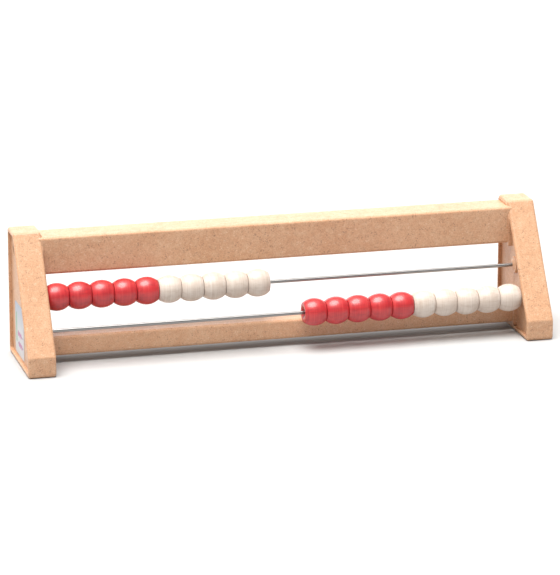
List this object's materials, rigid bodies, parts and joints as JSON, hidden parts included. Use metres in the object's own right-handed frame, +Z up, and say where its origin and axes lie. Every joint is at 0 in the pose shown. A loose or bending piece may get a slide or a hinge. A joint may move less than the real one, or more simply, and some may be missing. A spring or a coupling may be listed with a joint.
{
  "type": "abacus",
  "caption": "Low counting frame on two trapezoid end supports joined by two rails, with red and natural beads that slide along two steel rods.",
  "frame": {"origin": "middle of the footprint, on the surface the frame stands on", "axes": "+X along the rods to the right, +Y from the front to the back, +Z up"},
  "size_m": [0.297, 0.0556, 0.071],
  "materials": {
    "composite": "matt moulded wood composite, speckled",
    "red_bead": "red satin lacquer",
    "natural_bead": "clear satin lacquer on pale turned wood",
    "rod_steel": "drawn bright steel",
    "screw_zinc": "zinc plated",
    "label": "printed film"
  },
  "bodies": {
    "frame": {"left_support": "composite", "right_support": "composite", "top_rail": "composite", "bottom_rail": "composite", "upper_rod": "rod_steel", "lower_rod": "rod_steel", "screw_top_left": "screw_zinc", "screw_top_right": "screw_zinc", "screw_bottom_left": "screw_zinc", "screw_bottom_right": "screw_zinc", "outer_label": "label"},
    "upper_bead_01": {"upper_bead_01": "red_bead"},
    "upper_bead_02": {"upper_bead_02": "red_bead"},
    "upper_bead_03": {"upper_bead_03": "red_bead"},
    "upper_bead_04": {"upper_bead_04": "red_bead"},
    "upper_bead_05": {"upper_bead_05": "red_bead"},
    "upper_bead_06": {"upper_bead_06": "natural_bead"},
    "upper_bead_07": {"upper_bead_07": "natural_bead"},
    "upper_bead_08": {"upper_bead_08": "natural_bead"},
    "upper_bead_09": {"upper_bead_09": "natural_bead"},
    "upper_bead_10": {"upper_bead_10": "natural_bead"},
    "lower_bead_01": {"lower_bead_01": "red_bead"},
    "lower_bead_02": {"lower_bead_02": "red_bead"},
    "lower_bead_03": {"lower_bead_03": "red_bead"},
    "lower_bead_04": {"lower_bead_04": "red_bead"},
    "lower_bead_05": {"lower_bead_05": "red_bead"},
    "lower_bead_06": {"lower_bead_06": "natural_bead"},
    "lower_bead_07": {"lower_bead_07": "natural_bead"},
    "lower_bead_08": {"lower_bead_08": "natural_bead"},
    "lower_bead_09": {"lower_bead_09": "natural_bead"},
    "lower_bead_10": {"lower_bead_10": "natural_bead"}
  },
  "joints": [
    {"name": "upper_slide_01", "type": "slide", "parent": "frame", "child": "upper_bead_01", "axis": [1, 0, 0], "range_m": [0, 0.01415]},
    {"name": "upper_slide_02", "type": "slide", "parent": "upper_bead_01", "child": "upper_bead_02", "axis": [1, 0, 0], "range_m": [0, 0.01415]},
    {"name": "upper_slide_03", "type": "slide", "parent": "upper_bead_02", "child": "upper_bead_03", "axis": [1, 0, 0], "range_m": [0, 0.01415]},
    {"name": "upper_slide_04", "type": "slide", "parent": "upper_bead_03", "child": "upper_bead_04", "axis": [1, 0, 0], "range_m": [0, 0.01415]},
    {"name": "upper_slide_05", "type": "slide", "parent": "upper_bead_04", "child": "upper_bead_05", "axis": [1, 0, 0], "range_m": [0, 0.01415]},
    {"name": "upper_slide_06", "type": "slide", "parent": "upper_bead_05", "child": "upper_bead_06", "axis": [1, 0, 0], "range_m": [0, 0.01415]},
    {"name": "upper_slide_07", "type": "slide", "parent": "upper_bead_06", "child": "upper_bead_07", "axis": [1, 0, 0], "range_m": [0, 0.01415]},
    {"name": "upper_slide_08", "type": "slide", "parent": "upper_bead_07", "child": "upper_bead_08", "axis": [1, 0, 0], "range_m": [0, 0.01415]},
    {"name": "upper_slide_09", "type": "slide", "parent": "upper_bead_08", "child": "upper_bead_09", "axis": [1, 0, 0], "range_m": [0, 0.01415]},
    {"name": "upper_slide_10", "type": "slide", "parent": "upper_bead_09", "child": "upper_bead_10", "axis": [1, 0, 0], "range_m": [0, 0.01415]},
    {"name": "lower_slide_10", "type": "slide", "parent": "frame", "child": "lower_bead_10", "axis": [-1, 0, 0], "range_m": [0, 0.01415]},
    {"name": "lower_slide_09", "type": "slide", "parent": "lower_bead_10", "child": "lower_bead_09", "axis": [-1, 0, 0], "range_m": [0, 0.01415]},
    {"name": "lower_slide_08", "type": "slide", "parent": "lower_bead_09", "child": "lower_bead_08", "axis": [-1, 0, 0], "range_m": [0, 0.01415]},
    {"name": "lower_slide_07", "type": "slide", "parent": "lower_bead_08", "child": "lower_bead_07", "axis": [-1, 0, 0], "range_m": [0, 0.01415]},
    {"name": "lower_slide_06", "type": "slide", "parent": "lower_bead_07", "child": "lower_bead_06", "axis": [-1, 0, 0], "range_m": [0, 0.01415]},
    {"name": "lower_slide_05", "type": "slide", "parent": "lower_bead_06", "child": "lower_bead_05", "axis": [-1, 0, 0], "range_m": [0, 0.01415]},
    {"name": "lower_slide_04", "type": "slide", "parent": "lower_bead_05", "child": "lower_bead_04", "axis": [-1, 0, 0], "range_m": [0, 0.01415]},
    {"name": "lower_slide_03", "type": "slide", "parent": "lower_bead_04", "child": "lower_bead_03", "axis": [-1, 0, 0], "range_m": [0, 0.01415]},
    {"name": "lower_slide_02", "type": "slide", "parent": "lower_bead_03", "child": "lower_bead_02", "axis": [-1, 0, 0], "range_m": [0, 0.01415]},
    {"name": "lower_slide_01", "type": "slide", "parent": "lower_bead_02", "child": "lower_bead_01", "axis": [-1, 0, 0], "range_m": [0, 0.01415]}
  ]
}
